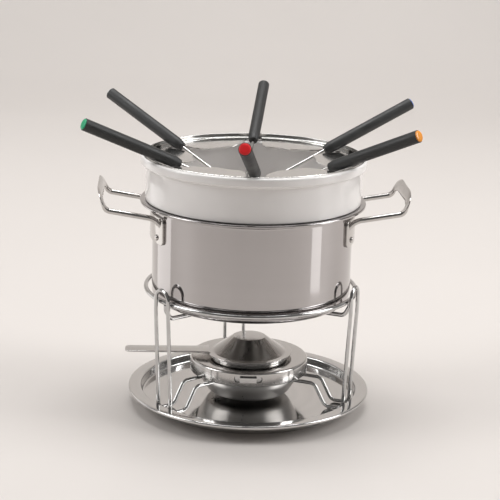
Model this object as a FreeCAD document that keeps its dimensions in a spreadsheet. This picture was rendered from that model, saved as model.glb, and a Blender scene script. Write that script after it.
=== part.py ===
import FreeCAD, Part
import math
import os
import Sketcher

# Fondue pot set for six: a serving tray, a wire stand, a spirit burner with
# its snuffer, a steel pot with a ceramic insert, a fork ring and six forks.
# Millimetres, +Z up, the set's axis is Z and the underside of the tray is at 0.
# The snuffer's handle points to -X and the burner's regulator to -Y.

os.makedirs("parts", exist_ok=True)
doc = FreeCAD.newDocument("fondue_pot_set")

GAP = 0.3        # clearance between pieces that lift off each other
FORKS = 6
FORK_NAMES = ("red", "orange", "blue", "yellow", "white", "green")
LEG_NAMES = ("left", "back", "right")
SIDES = ("left", "right")

NUMBERS = {
    # serving tray
    "tray_radius": 100.0, "tray_rim_top": 15.0, "tray_floor": 7.2,
    "tray_sheet": 0.8, "well_radius": 89.6, "well_floor_radius": 88.4,
    "tray_foot_radius": 78.0, "tray_foot_width": 3.0, "tray_hem": 2.4,
    # wire stand
    "ring_radius": 86.2, "ring_height": 99.7, "ring_wire": 1.9,
    "leg_wire": 1.55, "leg_half_gap": 8.3, "leg_loop_base": 102.2,
    "leg_first": 219.0, "leg_foot_radius": 86.0, "leg_shoulder": 92.0,
    "foot_inner": 71.0, "arm_outer": 61.0, "arm_end": 43.4,
    "rest_wire": 1.8, "rest_end": 40.0, "rest_drop_radius": 81.6,
    # spirit burner
    "skirt_radius": 48.8, "skirt_bottom": 28.9, "flange_top": 40.7,
    "burner_sheet": 0.8, "crown_radius": 32.4, "crown_top": 43.4,
    "mouth_radius": 22.0, "bowl_radius": 41.5, "bowl_bottom": 10.4,
    "bowl_floor_radius": 33.0, "slot_half_width": 11.4,
    "slot_bottom": 32.4, "slot_top": 38.4, "tab_half_width": 6.8,
    "slider_radius": 47.4, "slider_angle": 46.0,
    # snuffer
    "brim_radius": 35.6, "brim_bottom": 43.8, "cone_radius": 30.4,
    "snuffer_top": 57.0, "disc_radius": 13.4, "handle_tip": 103.0,
    "handle_root": 11.5, "handle_half_width": 7.4, "handle_plate": 1.3,
    "handle_azimuth": 183.0,
    # pot
    "pot_radius": 81.5, "pot_sheet": 0.9, "pot_base": 88.0,
    "base_disc_radius": 64.0, "base_disc_height": 2.9,
    "pot_corner": 8.0, "pot_rim_radius": 91.6, "pot_rim_top": 173.8,
    "pot_rim_under": 171.4,
    # pot handles
    "handle_turn": 3.5, "bracket_angle": 57.0, "bracket_bottom": 143.0,
    "bracket_height": 22.0, "bracket_plate": 1.9, "rivet_radius": 2.5,
    "rivet_angle": 21.0, "rivet_height": 147.9, "rivet_head": 1.4,
    "rod_wire": 2.2, "rod_offset": 34.0, "rod_height": 157.0,
    "rod_root": 68.0, "rod_turn": 73.0, "rod_knee_radius": 80.5,
    "rod_knee_height": 164.3, "rod_end_radius": 118.4,
    "rod_end_height": 170.6, "grip_rise": 12.4, "grip_tilt": 68.0,
    "grip_half_plate": 1.25, "grip_half_width": 5.1,
    # ceramic insert
    "collar_radius": 87.7, "lip_radius": 91.6, "lip_top": 210.3,
    "lip_under": 203.4, "ledge_height": 206.2, "ledge_radius": 89.2,
    "insert_radius": 79.3, "insert_bottom": 132.0,
    "insert_inside": 75.0, "insert_floor": 139.0,
    # fork ring
    "fork_ring_radius": 88.6, "fork_ring_top": 210.9, "ring_plate": 1.0,
    "lobe_radius": 50.0, "notch_end": 79.5, "notch_half_width": 7.0,
    "notch_flare": 17.0,
    # forks
    "fork_offset": 8.4, "fork_height": 177.8, "fork_slope": 24.3,
    "fork_first": -96.0, "shank_radius": 1.3, "grip_start": 74.0,
    "grip_radius": 4.9, "grip_end": 160.4, "cap_start": 153.0,
    "cap_end": 161.6, "cap_radius": 4.35, "tang_depth": 12.0,
    "tine_tip": 60.0,
    "tine_root": 24.0, "tine_half_width": 3.5, "tine_half_gap": 1.4,
    "tine_plate": 1.7,
}

sheet = doc.addObject("Spreadsheet::Sheet", "sheet")
sheet.Label = "dimensions"
for row, (alias, number) in enumerate(NUMBERS.items(), start=1):
    sheet.set("A%d" % row, alias)
    sheet.set("B%d" % row, str(number))
    sheet.setAlias("B%d" % row, alias)
doc.recompute()


class Value:
    """A number together with the spreadsheet expression that gives it."""

    def __init__(self, number, text=None):
        self.number = float(number)
        self.text = repr(float(number)) if text is None else text

    def join(self, other, sign, number):
        return Value(number, "(%s %s %s)" % (self.text, sign, other.text))

    def __add__(self, other):
        other = as_value(other)
        return self.join(other, "+", self.number + other.number)

    def __sub__(self, other):
        other = as_value(other)
        return self.join(other, "-", self.number - other.number)

    def __mul__(self, other):
        other = as_value(other)
        return self.join(other, "*", self.number * other.number)

    def __neg__(self):
        return as_value(0) - self


def as_value(item):
    return item if isinstance(item, Value) else Value(item)


def cosine(angle):
    number = math.cos(math.radians(angle.number))
    return Value(number, "cos(%s)" % angle.text)


def sine(angle):
    number = math.sin(math.radians(angle.number))
    return Value(number, "sin(%s)" % angle.text)


class Dimensions:
    """Gives each spreadsheet alias as a Value, by attribute."""

    def __getattr__(self, alias):
        return Value(NUMBERS[alias], "sheet." + alias)


D = Dimensions()


def bind(item, prop, value):
    item.setExpression(prop, as_value(value).text)


def place(item, offset, angles):
    """Binds a placement: an offset and the yaw, pitch and roll in degrees."""
    vector = "; ".join(as_value(part).text for part in offset)
    turn = "; ".join(as_value(part).text for part in angles)
    text = "create(<<placement>>; create(<<vector>>; %s); " % vector
    item.setExpression(
        "Placement", text + "create(<<rotation>>; %s))" % turn)


# ---------------------------------------------------------------- sketches
def new_body(name):
    body = doc.addObject("PartDesign::Body", name)
    body.Label = name
    return body


def new_sketch(body, role, name, lift=None):
    """A sketch on one of the body's own origin planes, lifted off it."""
    sketch = body.newObject("Sketcher::SketchObject", body.Name + name)
    planes = [f for f in body.Origin.OriginFeatures if f.Role == role]
    sketch.AttachmentSupport = [(planes[0], "")]
    sketch.MapMode = "FlatFace"
    if lift is not None:
        bind(sketch, "AttachmentOffset.Base.z", lift)
    return sketch


def pin(sketch, rules, bound, geo, end, x, y):
    """Fixes a sketch point at x, y from the sketch's origin."""
    for kind, axis, value in (("DistanceX", -2, x), ("DistanceY", -1, y)):
        if value.number == 0:
            rules.append(Sketcher.Constraint("PointOnObject", geo, end, axis))
        else:
            bound.append((len(rules), value))
            rules.append(Sketcher.Constraint(
                kind, -1, 1, geo, end, value.number))


def outline(sketch, corners, closed=True):
    """Draws lines through corners (x, y, bend radius), all bound."""
    corners = [tuple(as_value(part) for part in corner) for corner in corners]
    count = len(corners)
    points = [FreeCAD.Vector(c[0].number, c[1].number, 0) for c in corners]
    heads, tails, arcs = list(points), list(points), {}
    for i, corner in enumerate(corners):
        if corner[2].number == 0:
            continue
        back = (points[i - 1] - points[i]).normalize()
        ahead = (points[(i + 1) % count] - points[i]).normalize()
        half = back.getAngle(ahead) / 2
        radius = corner[2].number
        reach = radius / math.tan(half)
        heads[i] = points[i] + back * reach
        tails[i] = points[i] + ahead * reach
        middle = (back + ahead).normalize()
        centre = points[i] + middle * (radius / math.sin(half))
        left = back.cross(ahead).z < 0
        first, last = (heads[i], tails[i]) if left else (tails[i], heads[i])
        arcs[i] = (centre, radius, first - centre, last - centre, left)
    lines = count if closed else count - 1
    geometry = [
        Part.LineSegment(tails[i], heads[(i + 1) % count])
        for i in range(lines)]
    rules, bound = [], []
    for i in range(count):
        x, y, radius = corners[i]
        before = (i - 1) % count
        if i not in arcs:
            if i < lines:
                pin(sketch, rules, bound, i, 1, x, y)
            else:
                pin(sketch, rules, bound, before, 2, x, y)
            if closed or 0 < i < count - 1:
                rules.append(Sketcher.Constraint(
                    "Coincident", before, 2, i, 1))
            continue
        centre, size, first, last, left = arcs[i]
        circle = Part.Circle(centre, FreeCAD.Vector(0, 0, 1), size)
        start = math.atan2(first.y, first.x)
        stop = math.atan2(last.y, last.x)
        stop += 2 * math.pi if stop < start else 0
        arc = len(geometry)
        geometry.append(Part.ArcOfCircle(circle, start, stop))
        corner = len(geometry)
        geometry.append(Part.Point(points[i]))
        enter, leave = (1, 2) if left else (2, 1)
        rules += [
            Sketcher.Constraint("Tangent", before, 2, arc, enter),
            Sketcher.Constraint("Tangent", arc, leave, i, 1),
            Sketcher.Constraint("PointOnObject", corner, 1, before),
            Sketcher.Constraint("PointOnObject", corner, 1, i)]
        pin(sketch, rules, bound, corner, 1, x, y)
        bound.append((len(rules), radius))
        rules.append(Sketcher.Constraint("Radius", arc, size))
    sketch.addGeometry(geometry, False)
    for i, item in enumerate(geometry):
        if item.TypeId == "Part::GeomPoint":
            sketch.setConstruction(i, True)
    sketch.addConstraint(rules)
    for index, value in bound:
        bind(sketch, "Constraints[%d]" % index, value)
    return sketch


def round_section(sketch, x, y, radius):
    """A bound circle in a sketch."""
    x, y = as_value(x), as_value(y)
    centre = FreeCAD.Vector(x.number, y.number, 0)
    sketch.addGeometry(Part.Circle(
        centre, FreeCAD.Vector(0, 0, 1), radius.number), False)
    rules, bound = [], []
    pin(sketch, rules, bound, 0, 3, x, y)
    bound.append((len(rules), radius))
    rules.append(Sketcher.Constraint("Radius", 0, radius.number))
    sketch.addConstraint(rules)
    for index, value in bound:
        bind(sketch, "Constraints[%d]" % index, value)
    return sketch


def oval_section(sketch, x, y, wide, high):
    """A bound rectangle with fully rounded ends, long side along y."""
    bend = high * 0.98
    return outline(sketch, [
        (x - high, y - wide, bend), (x + high, y - wide, bend),
        (x + high, y + wide, bend), (x - high, y + wide, bend)])


# ---------------------------------------------------------------- features
def revolve(body, sketch, axis="V_Axis", angle=360.0):
    turn = body.newObject("PartDesign::Revolution", sketch.Name + "_turn")
    turn.Profile = sketch
    turn.ReferenceAxis = (sketch, [axis])
    turn.Angle = angle
    return turn


def turned(name, corners, role="XZ_Plane", axis="V_Axis"):
    """A body turned from one closed outline."""
    body = new_body(name)
    sketch = outline(new_sketch(body, role, "_outline"), corners)
    revolve(body, sketch, axis)
    return body


def pipe(body, section, spine):
    run = body.newObject("PartDesign::AdditivePipe", spine.Name + "_run")
    run.Profile = section
    run.Spine = (spine, [])
    return run


def pad(body, sketch, height):
    layer = body.newObject("PartDesign::Pad", sketch.Name + "_pad")
    layer.Profile = sketch
    bind(layer, "Length", height)
    return layer


def polar(body, feature, sketch, count):
    ring = body.newObject("PartDesign::PolarPattern", feature.Name + "_six")
    ring.Originals = [feature]
    ring.Axis = (sketch, ["N_Axis"])
    ring.Angle = 360
    ring.Occurrences = count
    body.Tip = ring
    return ring


# ------------------------------------------------------------ serving tray
def make_tray():
    floor = D.tray_floor
    under = floor - D.tray_sheet
    foot = D.tray_foot_radius
    rim = D.tray_rim_top
    sheet_t = D.tray_sheet
    turned("serving_tray", [
        (0, under, 0), (foot - D.tray_foot_width, under, 0),
        (foot - D.tray_foot_width, 0, 0.6), (foot, 0, 0.6),
        (foot, under, 0), (D.well_floor_radius + sheet_t, under, 2.6),
        (D.well_radius + sheet_t, rim - sheet_t, 0.8),
        (D.tray_radius - sheet_t, rim - sheet_t, 0.6),
        (D.tray_radius - sheet_t, rim - D.tray_hem, 0.3),
        (D.tray_radius, rim - D.tray_hem, 0.3),
        (D.tray_radius, rim, 1.3), (D.well_radius, rim, 1.6),
        (D.well_floor_radius, floor, 1.8), (0, floor, 0)])
    return ["serving_tray"]


# -------------------------------------------------------------- wire stand
def make_stand_ring():
    ring = doc.addObject("Part::Torus", "stand_ring")
    ring.Label = "stand_ring"
    bind(ring, "Radius1", D.ring_radius)
    bind(ring, "Radius2", D.ring_wire)
    bind(ring, "Placement.Base.z", D.ring_height)
    return ["stand_ring"]


def make_leg(name, azimuth):
    """A hairpin leg: a loop at the top, two wires down to the tray, along
    its floor, up again and in under the burner's skirt as two arms."""
    body = new_body(name)
    wire = D.leg_wire
    top = D.leg_loop_base
    reach = D.ring_radius + D.ring_wire + wire
    foot = D.tray_floor + GAP + wire
    arm = D.skirt_bottom - GAP - wire
    base = new_sketch(body, "XY_Plane", "_section", top)
    round_section(base, reach, D.leg_half_gap, wire)
    revolve(body, base, "H_Axis", 180.0)
    path = new_sketch(body, "XZ_Plane", "_path", -D.leg_half_gap)
    outline(path, [
        (reach, top, 0), (reach, D.leg_shoulder, 30.0),
        (D.leg_foot_radius, foot, 5.0), (D.foot_inner, foot, 6.0),
        (D.arm_outer, arm, 5.5), (D.arm_end, arm, 0)], closed=False)
    run = pipe(body, base, path)
    twin = body.newObject("PartDesign::Mirrored", name + "_twin")
    twin.Originals = [run]
    planes = [f for f in body.Origin.OriginFeatures if f.Role == "XZ_Plane"]
    twin.MirrorPlane = (planes[0], [""])
    body.Tip = twin
    place(body, (0, 0, 0), (azimuth, 0, 0))
    return [name]


def make_rest(name, azimuth):
    """A wire from the stand's ring down and in under the pot."""
    body = new_body(name)
    wire = D.rest_wire
    level = D.pot_base - GAP - wire
    start = D.ring_height - D.ring_wire - 0.02
    section = round_section(
        new_sketch(body, "XY_Plane", "_section", start),
        D.ring_radius - 0.4, 0, wire)
    path = outline(new_sketch(body, "XZ_Plane", "_path"), [
        (D.ring_radius - 0.4, start, 0),
        (D.ring_radius - 0.4, start - 4.0, 3.0),
        (D.rest_drop_radius, level, 5.0),
        (D.rest_end, level, 0)], closed=False)
    pipe(body, section, path)
    place(body, (0, 0, 0), (azimuth, 0, 0))
    return [name]


# ----------------------------------------------------------- spirit burner
def make_burner():
    skin = D.burner_sheet
    low = D.bowl_bottom
    turned("burner_bowl", [
        (0, low, 0), (D.bowl_floor_radius, low, 7.0),
        (D.bowl_radius, low + 14.0, 12.0),
        (D.bowl_radius, D.flange_top - skin - 0.05, 0),
        (D.bowl_radius - skin, D.flange_top - skin - 0.05, 0),
        (D.bowl_radius - skin, low + 14.2, 11.2),
        (D.bowl_floor_radius - 0.5, low + skin, 6.2),
        (0, low + skin, 0)])
    body = new_body("burner_lid")
    top, crown = D.flange_top, D.crown_top
    profile = outline(new_sketch(body, "XZ_Plane", "_outline"), [
        (D.mouth_radius, crown - skin, 0.2),
        (D.crown_radius - skin, crown - skin, 0.6),
        (D.crown_radius - skin, top - skin, 0.3),
        (D.skirt_radius - skin, top - skin, 1.0),
        (D.skirt_radius - skin, D.skirt_bottom, 0.3),
        (D.skirt_radius, D.skirt_bottom, 0.3),
        (D.skirt_radius, top, 1.8), (D.crown_radius, top, 0.6),
        (D.crown_radius, crown, 1.4), (D.mouth_radius, crown, 0.2)])
    revolve(body, profile)
    front = new_sketch(body, "XZ_Plane", "_slot", D.skirt_radius - 8.0)
    half = D.slot_half_width
    outline(front, [
        (-half, D.slot_bottom, 2.6), (half, D.slot_bottom, 2.6),
        (half, D.slot_top, 2.6), (-half, D.slot_top, 2.6)])
    cut = body.newObject("PartDesign::Pocket", "burner_lid_slot_cut")
    cut.Profile = front
    cut.Type = 0
    cut.Reversed = True
    bind(cut, "Length", D.skirt_radius)

    gauze = doc.addObject("Part::Cylinder", "burner_gauze")
    gauze.Label = "burner_gauze"
    bind(gauze, "Radius", D.mouth_radius - 0.05)
    bind(gauze, "Height", skin)
    bind(gauze, "Placement.Base.z", crown - skin * 1.5)
    wad = doc.addObject("Part::Cylinder", "burner_wadding")
    wad.Label = "burner_wadding"
    bind(wad, "Radius", D.bowl_floor_radius - 5.0)
    bind(wad, "Height", crown - skin * 1.5 - low - skin - 0.1)
    bind(wad, "Placement.Base.z", low + skin + 0.05)
    return ["burner_bowl", "burner_lid", "burner_gauze", "burner_wadding"]


def cylinder(name, radius, height, base, angle=None, yaw=None):
    item = doc.addObject("Part::Cylinder", name)
    item.Label = name
    bind(item, "Radius", radius)
    bind(item, "Height", height)
    if angle is not None:
        bind(item, "Angle", angle)
    place(item, (0, 0, base), (0 if yaw is None else yaw, 0, 0))
    return item


def curved_plate(name, inner, plate, base, height, angle, middle):
    """A plate bent round the Z axis, centred on an azimuth."""
    yaw = middle - angle * 0.5
    outer = cylinder(name + "_outer", inner + plate, height, base, angle, yaw)
    core = cylinder(name + "_core", inner, height + 2.0, base - 1.0)
    cut = doc.addObject("Part::Cut", name + "_bend")
    cut.Label = name + "_bend"
    cut.Base = outer
    cut.Tool = core
    return cut


def make_regulator():
    """A curved slide behind the skirt with a tab out through its slot."""
    height = D.slot_top - D.slot_bottom + 0.8
    base = D.slot_bottom - 0.4
    slide = curved_plate(
        "regulator", D.slider_radius - 1.0, as_value(1.0), base, height,
        D.slider_angle, as_value(270.0))
    tab = doc.addObject("Part::Box", "regulator_tab")
    tab.Label = "regulator_tab"
    bind(tab, "Length", D.tab_half_width * 2.0)
    bind(tab, "Width", D.skirt_radius + 2.6 - D.slider_radius + 0.5)
    bind(tab, "Height", D.slot_top - D.slot_bottom - 2.0)
    place(tab, (-D.tab_half_width, -D.skirt_radius - 2.6,
                D.slot_bottom + 1.0), (0, 0, 0))
    whole = doc.addObject("Part::MultiFuse", "flame_regulator")
    whole.Label = "flame_regulator"
    whole.Shapes = [slide, tab]
    return ["flame_regulator"]


def make_snuffer():
    skin = D.burner_sheet
    low = D.brim_bottom
    top = D.snuffer_top
    body = new_body("snuffer_cover")
    profile = outline(new_sketch(body, "XZ_Plane", "_outline"), [
        (0, top - skin, 0), (D.disc_radius - 0.3, top - skin, 0.8),
        (D.cone_radius - skin, low, 1.0),
        (D.brim_radius, low, 0.3), (D.brim_radius, low + skin, 0.3),
        (D.cone_radius, low + skin, 3.0),
        (D.disc_radius, top, 1.0), (0, top, 0)])
    revolve(body, profile)
    strap = new_sketch(body, "XY_Plane", "_strap", low + 0.1)
    outline(strap, [
        (D.cone_radius + 2.0, -D.handle_root, 2.0),
        (D.brim_radius + 8.0, -D.handle_half_width, 20.0),
        (D.handle_tip, -D.handle_half_width, 4.5),
        (D.handle_tip, D.handle_half_width, 4.5),
        (D.brim_radius + 8.0, D.handle_half_width, 20.0),
        (D.cone_radius + 2.0, D.handle_root, 2.0)])
    pad(body, strap, D.handle_plate)
    place(body, (0, 0, 0), (D.handle_azimuth, 0, 0))
    return ["snuffer_cover"]


# --------------------------------------------------------------------- pot
def make_pot():
    skin = D.pot_sheet
    low = D.pot_base + D.base_disc_height + 0.02
    wall, rim = D.pot_radius, D.pot_rim_radius
    under, top = D.pot_rim_under, D.pot_rim_top
    turned("pot_body", [
        (0, low, 0), (wall, low, D.pot_corner),
        (wall, under - 1.6, 3.4), (rim - 0.8, under + 0.3, 0.6),
        (rim, under, 0.5), (rim, top, 1.0),
        (wall - skin, top - 0.5, 3.0),
        (wall - skin, low + skin, D.pot_corner - skin),
        (0, low + skin, 0)])
    disc = cylinder("pot_base_disc", D.base_disc_radius,
                    D.base_disc_height, D.pot_base)
    names = ["pot_body", "pot_base_disc"]
    disc.Label = "pot_base_disc"
    for side, turn in zip(SIDES, (180.0, 0.0)):
        names += make_handle(side, D.handle_turn + turn)
    return names


def make_handle(side, azimuth):
    """Bracket on the wall, its rivets and the wire loop with its grip."""
    wall = D.pot_radius + 0.02
    bracket = "handle_bracket_" + side
    bend = curved_plate(bracket, wall, D.bracket_plate, D.bracket_bottom,
                        D.bracket_height, D.bracket_angle, azimuth)
    doc.recompute()
    plate = doc.addObject("Part::Fillet", bracket)
    plate.Label = bracket
    plate.Base = bend
    ends = [
        (i, 4.0, 4.0) for i, edge in enumerate(bend.Shape.Edges, start=1)
        if edge.Curve.TypeId == "Part::GeomLine"
        and abs(edge.tangentAt(edge.FirstParameter).z) < 0.5]
    plate.Edges = ends

    heads = []
    outer = wall + D.bracket_plate + 0.02
    for hand, sign in (("a", -1.0), ("b", 1.0)):
        yaw = azimuth + D.rivet_angle * sign
        stud = doc.addObject("Part::Cone", "rivet_%s_%s" % (side, hand))
        stud.Label = stud.Name
        bind(stud, "Radius1", D.rivet_radius)
        bind(stud, "Radius2", D.rivet_radius * 0.62)
        bind(stud, "Height", D.rivet_head)
        place(stud, (outer * cosine(yaw), outer * sine(yaw),
                     D.rivet_height), (yaw, 90, 0))
        heads.append(stud)
    rivets = doc.addObject("Part::Compound", "handle_rivets_" + side)
    rivets.Label = rivets.Name
    rivets.Links = heads

    loop = new_body("handle_loop_" + side)
    start = D.rod_root
    wire = D.rod_wire
    tilt = D.grip_tilt
    stem = 4.4
    section = round_section(
        new_sketch(loop, "YZ_Plane", "_section", start),
        D.rod_offset, D.rod_height, wire)
    path = outline(new_sketch(loop, "XZ_Plane", "_path", -D.rod_offset), [
        (start, D.rod_height, 0), (D.rod_turn, D.rod_height, 4.0),
        (D.rod_knee_radius, D.rod_knee_height, 12.0),
        (D.rod_end_radius, D.rod_end_height, 6.0),
        (D.rod_end_radius + cosine(tilt) * stem,
         D.rod_end_height + sine(tilt) * stem, 0)], closed=False)
    run = pipe(loop, section, path)
    twin = loop.newObject("PartDesign::Mirrored", "loop_twin_" + side)
    twin.Originals = [run]
    planes = [f for f in loop.Origin.OriginFeatures if f.Role == "XZ_Plane"]
    twin.MirrorPlane = (planes[0], [""])
    loop.Tip = twin

    # The grip is an arch in a plane tilted up from the rods' ends.
    arch = new_sketch(loop, "YZ_Plane", "_arch")
    tip = "create(<<placement>>; create(<<vector>>; 0; %s; %s); " % (
        D.rod_end_height.text, D.rod_end_radius.text)
    arch.setExpression(
        "AttachmentOffset",
        tip + "create(<<rotation>>; 0; 0; %s))" % (-tilt + 90.0).text)
    bow = D.rod_offset
    rise = D.grip_rise
    outline(arch, [
        (-bow, stem - 1.6, 0), (-bow + 1.0, rise - 4.0, 5.5),
        (-bow + 12.0, rise, 14.0), (bow - 12.0, rise, 14.0),
        (bow - 1.0, rise - 4.0, 5.5), (bow, stem - 1.6, 0)], closed=False)
    face = new_sketch(loop, "XY_Plane", "_grip")
    lift = D.rod_end_height + sine(tilt) * (stem - 1.6)
    along = D.rod_end_radius + cosine(tilt) * (stem - 1.6)
    spot = "create(<<placement>>; create(<<vector>>; %s; %s; %s); " % (
        along.text, (-D.rod_offset).text, lift.text)
    face.setExpression(
        "AttachmentOffset",
        spot + "create(<<rotation>>; 0; %s; 0))" % (-tilt + 90.0).text)
    oval_section(face, as_value(0), as_value(0), D.grip_half_width,
                 D.grip_half_plate)
    pipe(loop, face, arch)

    # The rods' ends follow the bracket they are welded to.
    bore = round_section(
        new_sketch(loop, "XY_Plane", "_bore", D.rod_height - 5.0),
        0, 0, outer + 0.05)
    cut = loop.newObject("PartDesign::Pocket", "loop_cut_" + side)
    cut.Profile = bore
    cut.Type = 0
    cut.Reversed = True
    bind(cut, "Length", as_value(15.0))
    place(loop, (0, 0, 0), (azimuth, 0, 0))
    return [bracket, rivets.Name, loop.Name]


# ---------------------------------------------------------- ceramic insert
def make_insert():
    low = D.pot_rim_top + GAP
    turned("ceramic_bowl", [
        (0, D.insert_bottom, 0), (D.insert_radius - 20, D.insert_bottom, 10),
        (D.insert_radius - 1.5, D.insert_bottom + 26, 30),
        (D.insert_radius, low, 0.6), (D.collar_radius, low, 2.6),
        (D.collar_radius, D.lip_under - 1.2, 1.0),
        (D.lip_radius, D.lip_under, 1.6), (D.lip_radius, D.lip_top, 1.8),
        (D.ledge_radius, D.lip_top, 0.8),
        (D.ledge_radius, D.ledge_height, 0.8),
        (D.insert_inside, D.ledge_height, 3.0),
        (D.insert_inside - 2.5, D.insert_floor + 20.0, 24.0),
        (D.insert_inside - 20, D.insert_floor, 10.0),
        (0, D.insert_floor, 0)])
    return ["ceramic_bowl"]


# ------------------------------------------------- fork ring and its forks
def make_fork_ring():
    """An annular plate with an upturned rim and a notch for each fork."""
    body = new_body("fork_ring")
    low = D.ledge_height + GAP
    plate = D.ring_plate
    rim = D.fork_ring_radius
    profile = outline(new_sketch(body, "XZ_Plane", "_outline"), [
        (D.lobe_radius, low, 0), (rim, low, 2.0),
        (rim, D.fork_ring_top, 0.3), (rim - plate, D.fork_ring_top, 0.3),
        (rim - plate, low + plate, 1.2), (D.lobe_radius, low + plate, 0)])
    revolve(body, profile)
    notch = new_sketch(body, "XY_Plane", "_notch", low - 1.0)
    half, flare = D.notch_half_width, D.notch_flare
    slide = D.fork_offset
    outline(notch, [
        (D.notch_end, slide - half, 3.0), (D.notch_end, slide + half, 3.0),
        (D.lobe_radius + 8, slide + half + 1.5, 20.0),
        (D.lobe_radius - 8, slide + flare, 0),
        (D.lobe_radius - 8, slide - flare, 0),
        (D.lobe_radius + 8, slide - half - 1.5, 20.0)])
    cut = body.newObject("PartDesign::Pocket", "fork_ring_notch_cut")
    cut.Profile = notch
    cut.Type = 0
    cut.Reversed = True
    bind(cut, "Length", plate + 4.0)
    ring = polar(body, cut, notch, FORKS)
    body.Placement.Rotation = FreeCAD.Rotation(
        FreeCAD.Vector(0, 0, 1), NUMBERS["fork_first"])
    bind(body, "Placement.Rotation.Angle", D.fork_first)
    doc.recompute()
    tips = [
        "Edge%d" % i for i, edge in enumerate(ring.Shape.Edges, start=1)
        if edge.Curve.TypeId == "Part::GeomLine"
        and abs(edge.tangentAt(edge.FirstParameter).z) > 0.9
        and math.hypot(edge.CenterOfMass.x, edge.CenterOfMass.y)
        < NUMBERS["lobe_radius"] + 1.5]
    soft = body.newObject("PartDesign::Fillet", "fork_ring_lobe_round")
    soft.Base = (ring, tips)
    soft.Radius = 3.0
    body.Tip = soft
    return ["fork_ring"]


def make_fork(name, azimuth):
    """Steel tines, a plastic grip and a coloured plug in the grip's end, on
    one sloping axis which passes the set's axis at a small offset."""
    start, cap = D.grip_start, D.cap_start
    radius, bore = D.grip_radius, D.shank_radius + 0.05
    end, well = D.grip_end, D.cap_radius + 0.05
    tang = start + D.tang_depth
    shank = new_body("fork_%s_tines" % name)
    rod = outline(new_sketch(shank, "XZ_Plane", "_rod"), [
        (-D.tine_root, 0, 0), (-D.tine_root, D.shank_radius, 0),
        (tang - 0.1, D.shank_radius, 0), (tang - 0.1, 0, 0)])
    revolve(shank, rod, "H_Axis")
    flat = new_sketch(shank, "XY_Plane", "_flat", D.tine_plate * -0.5)
    tip, root = D.tine_tip, D.tine_root
    half, slot = D.tine_half_width, D.tine_half_gap
    outline(flat, [
        (-root + 9.0, 1.0, 0), (-root - 1.0, half, 5.0),
        (-tip + 5.0, half, 2.0), (-tip, half - 0.8, 0.2),
        (-tip + 4.0, slot, 2.0), (-root - 7.0, slot, 1.2),
        (-root - 7.0, -slot, 1.2), (-tip + 4.0, -slot, 2.0),
        (-tip, -half + 0.8, 0.2), (-tip + 5.0, -half, 2.0),
        (-root - 1.0, -half, 5.0), (-root + 9.0, -1.0, 0)])
    pad(shank, flat, D.tine_plate)
    grip = turned("fork_%s_grip" % name, [
        (start, bore, 0), (start, radius - 1.4, 0.8),
        (start + 6.0, radius - 0.1, 12.0), (end, radius, 0.2),
        (end, well, 0), (cap, well, 0),
        (cap, 0, 0), (tang, 0, 0), (tang, bore, 0)], axis="H_Axis")
    button = turned("fork_%s_cap" % name, [
        (cap + 0.02, 0, 0), (cap + 0.02, D.cap_radius, 0.3),
        (D.cap_end, D.cap_radius, 1.1), (D.cap_end, 0, 0)], axis="H_Axis")
    away = D.fork_offset
    spot = (-away * sine(azimuth), away * cosine(azimuth), D.fork_height)
    for body in (shank, grip, button):
        place(body, spot, (azimuth, -D.fork_slope, 0))
    return [shank.Name, grip.Name, button.Name]


# ---------------------------------------------------------------- assembly
nodes = make_tray() + make_stand_ring()
for index, leg in enumerate(LEG_NAMES):
    where = D.leg_first - 120.0 * index
    nodes += make_leg("stand_leg_" + leg, where)
    nodes += make_rest("pot_rest_" + leg, where)
nodes += make_burner() + make_regulator() + make_snuffer()
nodes += make_pot() + make_insert() + make_fork_ring()
for index, colour in enumerate(FORK_NAMES):
    nodes += make_fork(colour, D.fork_first + 360.0 / FORKS * index)
doc.recompute()

faults = [item.Name for item in doc.Objects
          if {"Invalid", "Error"} & set(item.State)]
for name in nodes:
    shape = doc.getObject(name).Shape
    if shape.isNull() or not shape.isValid():
        faults.append(name + " shape")
if faults:
    raise RuntimeError("faulty objects: " + ", ".join(faults))
for name in nodes:
    doc.getObject(name).Shape.exportStep("parts/%s.step" % name)
    box = doc.getObject(name).Shape.BoundBox
    print("%-22s %s" % (name, box))
print(len(nodes), "nodes")
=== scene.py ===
"""Fondue pot set: the visible pieces, their finishes and a small studio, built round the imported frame."""
import math

import bmesh
import bpy
from bpy.props import FloatProperty, FloatVectorProperty, IntProperty, PointerProperty
from mathutils import Matrix, Vector


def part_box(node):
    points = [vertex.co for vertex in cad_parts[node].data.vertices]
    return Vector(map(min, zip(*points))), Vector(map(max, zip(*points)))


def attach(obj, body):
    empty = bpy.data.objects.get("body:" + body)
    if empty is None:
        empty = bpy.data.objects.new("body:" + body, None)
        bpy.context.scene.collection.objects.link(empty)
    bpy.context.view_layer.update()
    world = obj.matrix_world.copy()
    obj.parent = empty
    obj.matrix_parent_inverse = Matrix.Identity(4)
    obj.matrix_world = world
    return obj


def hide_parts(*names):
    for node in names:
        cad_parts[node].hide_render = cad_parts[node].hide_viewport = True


bl_info = {
    "name": "Fondue Pot Set",
    "version": (1, 0, 0),
    "blender": (4, 5, 0),
    "location": "3D View > Sidebar > Fondue",
    "description": "Builds a steel fondue set with its burner, insert and forks",
    "category": "Add Mesh",
}

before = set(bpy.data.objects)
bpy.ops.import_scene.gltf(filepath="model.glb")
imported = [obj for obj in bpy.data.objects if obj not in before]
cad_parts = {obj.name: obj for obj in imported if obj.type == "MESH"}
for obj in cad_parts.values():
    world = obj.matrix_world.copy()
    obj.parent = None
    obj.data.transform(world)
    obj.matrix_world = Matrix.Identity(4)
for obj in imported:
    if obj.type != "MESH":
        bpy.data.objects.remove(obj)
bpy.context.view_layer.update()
MM = 0.001
GAP = 0.3 * MM
FORKS = ("red", "orange", "blue", "yellow", "white", "green")
LEGS = ("left", "back", "right")
SIDES = ("left", "right")


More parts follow.
